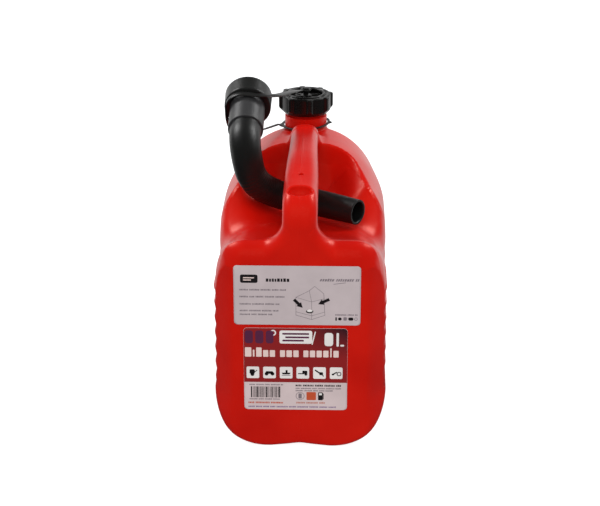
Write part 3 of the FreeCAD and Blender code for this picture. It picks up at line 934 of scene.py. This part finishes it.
class Print:
    """Flat printed shapes just above a sticker, in millimetres from its middle (right) and its top (down)."""

    def __init__(self, name, centre_x, top):
        self.name, self.centre_x, self.top = name, centre_x, top
        self.points, self.faces, self.colours = [], [], []
        self.lift = 0.34
        self.random = np.random.default_rng(5)

    def shape(self, ink, corners, lift=None):
        lift = self.lift if lift is None else lift
        x = self.centre_x + np.array([c[0] for c in corners], float)
        z = self.top - np.array([c[1] for c in corners], float)
        placed = near_face(x, z, lift)
        area = sum(x[i] * z[(i + 1) % len(x)] - x[(i + 1) % len(x)] * z[i] for i in range(len(x)))
        order = list(range(len(corners))) if area > 0 else list(range(len(corners)))[::-1]
        base = len(self.points)
        self.points += placed.tolist()
        self.faces.append(tuple(base + i for i in order))
        self.colours.append(ink)

    def bar(self, ink, left, top, right, bottom, slant=0.0, lift=None):
        self.shape(ink, [(left, bottom), (right, bottom), (right + slant, top), (left + slant, top)], lift)

    def tile(self, ink, left, top, right, bottom, corner=1.2, lift=None, square_foot=False):
        points = []
        for cx, cy, start in ((right - corner, top + corner, -90), (right - corner, bottom - corner, 0),
                              (left + corner, bottom - corner, 90), (left + corner, top + corner, 180)):
            if square_foot and start in (0, 90):
                points.append((right if start == 0 else left, bottom))
                continue
            for step in range(5):
                angle = math.radians(start + 22.5 * step)
                points.append((cx + corner * math.cos(angle), cy + corner * math.sin(angle)))
        self.shape(ink, points, lift)

    def disc(self, ink, x, y, radius, flat=1.0, lift=None):
        self.shape(ink, [(x + radius * math.cos(a), y + flat * radius * math.sin(a))
                         for a in np.linspace(0, 2 * math.pi, 24, endpoint=False)], lift)

    def ring(self, ink, x, y, radius, width):
        for a in np.linspace(0, 2 * math.pi, 16, endpoint=False):
            b = a + 2 * math.pi / 16
            inner = radius - width
            self.shape(ink, [(x + r * math.cos(t), y + r * math.sin(t))
                             for r, t in ((radius, a), (radius, b), (inner, b), (inner, a))])

    def line(self, ink, start, end, width):
        dx, dy = end[0] - start[0], end[1] - start[1]
        size = math.hypot(dx, dy)
        nx, ny = -dy / size * width / 2, dx / size * width / 2
        self.shape(ink, [(start[0] + nx, start[1] + ny), (end[0] + nx, end[1] + ny),
                         (end[0] - nx, end[1] - ny), (start[0] - nx, start[1] - ny)])

    def writing(self, ink, left, right, middle, height, slant=0.0):
        """A row of short dashes that stands for a line of small writing."""
        x = left
        while x < right - 0.6:
            word_end = min(right, x + height * self.random.uniform(2.2, 6))
            while x < word_end:
                width = height * self.random.uniform(0.35, 0.6)
                rise = height * self.random.uniform(0.36, 0.5)
                self.bar(ink, x, middle - rise, x + width, middle + height * 0.36, slant * height)
                x += width + height * 0.2
            x += height * 0.5

    def arrow(self, ink, tail, tip, width):
        dx, dy = tip[0] - tail[0], tip[1] - tail[1]
        size = math.hypot(dx, dy)
        ux, uy = dx / size, dy / size
        neck = (tip[0] - ux * size * 0.45, tip[1] - uy * size * 0.45)
        self.line(ink, tail, neck, width)
        self.shape(ink, [tip, (neck[0] - uy * width, neck[1] + ux * width),
                         (neck[0] + uy * width, neck[1] - ux * width)])

    def make(self):
        names = sorted(set(self.colours))
        materials = [FIELD if name == "field" else INKS[name] for name in names]
        return make_mesh(self.name, self.points, self.faces, None, materials,
                         [names.index(colour) for colour in self.colours])


UPPER = dict(centre_x=-2.0, low=115, high=168, width=105)
LOWER = dict(centre_x=-3.4, low=36, high=112, width=87)


def upper_print():
    """Stand-ins for the leaflet's contents: a block, rows of dashes, a line drawing and small signs."""
    art = Print("leaflet_print", UPPER["centre_x"], UPPER["high"])
    art.tile("black", -47, 8, -32.5, 15.4, 1.6)
    art.bar("pale", -44.5, 10.4, -35.5, 11.3, lift=0.38)
    art.bar("pale", -44.5, 12.4, -38, 13.3, lift=0.38)
    art.writing("black", -25.7, -5.4, 12.9, 3.6)
    art.writing("grey", 18.5, 50, 12.5, 2.8, 0.3)
    art.line("grey", (30, 16), (40, 14.6), 0.5)
    for right, middle in ((-9.2, 21.6), (-10.5, 27.8), (-15, 34.4), (-16.5, 40.4), (-21, 43.8)):
        art.writing("grey", -47.6, right, middle, 1.7)

    # An outline drawing of a low box with a raised lid, and two arrows that point at it.
    outline = [(-1, 28), (10, 22), (14.5, 18), (22, 24.5), (23, 44), (12, 48), (-1, 44), (-1, 28)]
    for start, end in zip(outline, outline[1:]):
        art.line("grey", start, end, 0.35)
    for start, end in (((12, 32), (12, 48)), ((-1, 28), (12, 32)), ((12, 32), (22.6, 29)),
                       ((10, 22), (12, 32)), ((-1, 41), (12, 44.6)), ((12, 44.6), (23, 41))):
        art.line("grey", start, end, 0.3)
    art.arrow("black", (-2.6, 30), (4.6, 37.4), 2.6)
    art.arrow("black", (26.6, 29.6), (17.4, 34), 2.6)
    art.disc("black", 10.4, 40.6, 3.1, 0.55)
    art.disc("white", 10.4, 40.0, 2.3, 0.5, lift=0.38)
    art.writing("grey", 31.6, 50, 43.6, 1.6)
    art.tile("black", 31.7, 45.6, 32.9, 48.8, 0.4)
    art.disc("black", 35.4, 47.2, 1.5, 0.9)
    art.tile("grey", 38.4, 45.6, 41.2, 48.6, 0.6)
    art.tile("black", 42.4, 45.8, 46.6, 48.6, 1.2)
    art.ring("grey", 48.8, 47.2, 1.4, 0.4)
    return art.make()


def pictogram(art, number, x, y):
    """Six plain signs of machines, made of bars and discs."""
    ink = "black"
    if number == 0:
        art.tile(ink, x - 2.8, y - 2.8, x + 1.6, y + 1.2, 0.8)
        art.disc(ink, x - 0.4, y + 1.8, 1.6)
        art.line(ink, (x + 1.4, y - 0.2), (x + 3.6, y - 2.2), 0.7)
    elif number == 1:
        art.disc(ink, x - 2.5, y + 1.2, 1.6)
        art.disc(ink, x + 2.5, y + 1.2, 1.6)
        art.tile(ink, x - 3.2, y - 1.2, x + 3, y + 1.2, 0.8)
    elif number == 2:
        art.shape(ink, [(x - 3.8, y), (x + 3.8, y), (x + 2.8, y + 1.6), (x - 2.8, y + 1.6)])
        art.bar(ink, x - 0.5, y - 2.4, x + 1.2, y)
        art.bar("grey", x - 3.6, y + 2.2, x + 3.6, y + 2.8)
    elif number == 3:
        art.tile(ink, x - 0.4, y - 2, x + 3.8, y + 1, 0.8)
        art.line(ink, (x - 4, y + 0.8), (x + 1, y + 0.8), 0.9)
        art.disc(ink, x + 2.6, y + 1.4, 1.2)
    elif number == 4:
        art.line(ink, (x - 3.8, y - 2.8), (x + 1, y + 0.8), 1.2)
        art.tile(ink, x - 0.2, y - 0.8, x + 3, y + 2, 0.8)
        art.line(ink, (x + 2.2, y + 1), (x + 3.4, y + 3.2), 0.8)
    else:
        art.ring(ink, x + 2.4, y + 0.8, 2.0, 0.7)
        art.line(ink, (x - 3.6, y + 1.6), (x + 0.6, y - 0.8), 1.1)
        art.disc(ink, x - 2.6, y + 1.2, 0.9)


def lower_print():
    """Stand-ins for the product sticker's contents: blocks, six signs and a strip of bars."""
    art = Print("product_print", LOWER["centre_x"], LOWER["high"])
    half = LOWER["width"] / 2
    field_foot = 50.2
    art.tile("field", -half + 0.15, 0.15, half - 0.15, field_foot, 2.8, lift=0.325, square_foot=True)

    # Top row: three dark blocks, a small light ring, a light plaque with stripes, and two light blocks.
    for left, right in ((-42.4, -35.6), (-33.6, -26.8), (-24.8, -18.4)):
        art.tile("violet", left, 2.4, right, 14.2, 2.2, lift=0.345)
    art.ring("white", -18.8, 4.4, 2.7, 1.1)
    art.tile("white", -13.4, 2.2, 14, 14.2, 1.8, lift=0.345)
    for middle, left, right in ((5.2, -11, 11.4), (8.4, -8.6, 11.4), (11.4, -11, 7)):
        art.tile("violet", left, middle - 0.8, right, middle + 0.8, 0.6, lift=0.365)
    art.line("white", (16.6, 3), (13.8, 15), 0.9)
    art.tile("white", 24.2, 4, 31.4, 16.2, 2.4, lift=0.345)
    art.tile("white", 34.2, 4, 36.2, 16.4, 0.6, lift=0.345)
    art.tile("white", 37.4, 14.8, 40.6, 16.4, 0.6, lift=0.345)

    # The big light line: upright blocks of several widths in three groups.
    x = -42.4
    tall, low, foot = 8.6, 6.2, 26.6
    line = [(5.4, tall, 1.2), (1.4, 6.6, 1.4), (4.6, tall, 1.2), (4.4, low, 1.2), (4.4, low, 4.2),
            (4.2, low, 1.2), (4.6, low, 1.2), (4.4, low, 4.0),
            (4.2, low, 1.2), (4.4, low, 1.2), (4.4, low, 1.2), (4.4, low, 1.4), (1.3, tall, 1.4),
            (4.4, low, 1)]
    for width, height, gap in line:
        art.tile("pale", x, foot - height, x + width, foot, 0.6, lift=0.345)
        x += width + gap

    for number in range(6):
        left = -41.3 + 14.02 * number
        art.tile("white", left, 35.8, left + 10.7, 46.6, 1.3, lift=0.345)
        art.lift = 0.38
        pictogram(art, number, left + 5.35, 41.2)
        art.lift = 0.34

    # The white strip: bars, dashes and three small signs.
    x = -37.8
    while x < -13.4:
        width = art.random.choice([0.4, 0.6, 1.0])
        art.bar("black", x, 54.4, x + width, 64.6)
        x += width + art.random.choice([0.4, 0.6, 0.8])
    art.writing("grey", -39, -11.2, 52.6, 1.4)
    art.writing("grey", -39, -13.4, 66.2, 1.4)
    art.writing("orange", -40, -11, 69.6, 1.9)
    art.writing("plum", -40, 34, 73.4, 1.6)
    art.writing("black", 0, 38.4, 53.2, 2.0)
    art.writing("grey", 0, 38, 55.9, 1.4)
    art.writing("grey", 0, 31.2, 58, 1.4)
    art.ring("grey", 3.8, 63, 3.7, 0.45)
    art.tile("grey", 2.4, 60.6, 5.2, 65.4, 0.6)
    art.tile("orange", 9.2, 59.2, 17.2, 66.8, 0.7)
    art.tile("black", 19, 59.4, 23, 66.8, 0.6)
    art.tile("white", 19.8, 60.2, 22.2, 62, 0.3, lift=0.38)
    art.line("black", (23.4, 60.6), (23.4, 66), 0.6)
    art.writing("rust", 0.6, 25, 69.4, 1.9)
    return art.make()


def add_sticker(sheet, art, node):
    for piece in (sheet, art):
        add_piece(piece, "can", node)


upper_sheet = sticker("sticker_upper", material=PAPER, **UPPER)
add_sticker(upper_sheet, upper_print(), "label_upper")
lower_sheet = sticker("sticker_lower", material=PAPER_WHITE, **LOWER)
add_sticker(lower_sheet, lower_print(), "label_lower")

for node in ("cap_gasket", "spout_gasket"):
    for obj in bpy.data.objects:
        if obj.type == "MESH" and obj.name.startswith(node):
            obj.data.materials.clear()
            obj.data.materials.append(RUBBER)

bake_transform(strap)


# ---------------------------------------------------------------- camera, light and floor


def add_camera():
    """The view: a long lens a little right of the can's middle, looking down on it."""
    data = bpy.data.cameras.new("camera")
    data.sensor_width = 36
    data.lens = 97.5
    data.shift_x = -0.0052
    data.shift_y = 0.01
    camera = bpy.data.objects.new("camera", data)
    camera.location = (0.033, -1.362, 0.676)
    camera.rotation_euler = (math.radians(67.8), 0, math.radians(1.4))
    bpy.context.scene.collection.objects.link(camera)
    bpy.context.scene.camera = camera


def add_softbox(name, place, target, size, power, hidden_from=()):
    data = bpy.data.lights.new(name, "AREA")
    data.shape = "RECTANGLE"
    data.size, data.size_y = size
    data.energy = power
    light = bpy.data.objects.new(name, data)
    light.location = place
    for ray in hidden_from:
        setattr(light, "visible_" + ray, False)
    light.rotation_euler = (Vector(target) - Vector(place)).to_track_quat("-Z", "Y").to_euler()
    bpy.context.scene.collection.objects.link(light)


def add_studio():
    """Two softboxes behind and above, a wide front fill, two reflection cards and a pale floor."""
    middle = (0, 0, 0.14)
    add_softbox("left_box", (-0.95, 0.55, 1.15), middle, (0.55, 0.55), 9)
    add_softbox("right_box", (0.95, 0.55, 1.15), middle, (0.55, 0.55), 9)
    add_softbox("front_fill", (0, -1.5, 1.6), middle, (2.4, 1.4), 28, ["glossy"])
    add_softbox("backdrop", (0, 1.15, 0.3), (0, 0, 0.3), (3.4, 0.62), 5.4)
    add_softbox("floor_card", (0, 0.75, 0.002), (0, 0.75, 1), (3.2, 1.1), 8.8, ["camera", "diffuse"])

    world = bpy.data.worlds.new("studio")
    bpy.context.scene.world = world
    world.use_nodes = True
    world.cycles.sampling_method = "NONE"
    tree = world.node_tree
    background = tree.nodes["Background"]
    background.inputs["Color"].default_value = (1, 1, 1, 1)
    path = tree.nodes.new("ShaderNodeLightPath")
    strength = tree.nodes.new("ShaderNodeMath")
    strength.operation = "MULTIPLY_ADD"
    tree.links.new(path.outputs["Is Diffuse Ray"], strength.inputs[0])
    strength.inputs[1].default_value = 0.55
    strength.inputs[2].default_value = 0.05
    seen = tree.nodes.new("ShaderNodeMath")
    seen.operation = "MAXIMUM"
    tree.links.new(path.outputs["Is Camera Ray"], seen.inputs[0])
    tree.links.new(strength.outputs[0], seen.inputs[1])
    tree.links.new(seen.outputs[0], background.inputs["Strength"])

    bpy.ops.mesh.primitive_plane_add(size=8, location=(0, 0, -0.0005))
    floor = bpy.context.object
    floor.name = "floor"
    floor.visible_glossy = False
    floor.visible_diffuse = False
    nodes = Nodes("floor")
    floor.data.materials.append(nodes.set(
        Base_Color=(0.3, 0.31, 0.32, 1), Roughness=1.0, Specular_IOR_Level=0.0,
        Emission_Color=(1, 1, 1, 1), Emission_Strength=0.9))
    bpy.context.scene.view_settings.view_transform = "Standard"


add_camera()
add_studio()
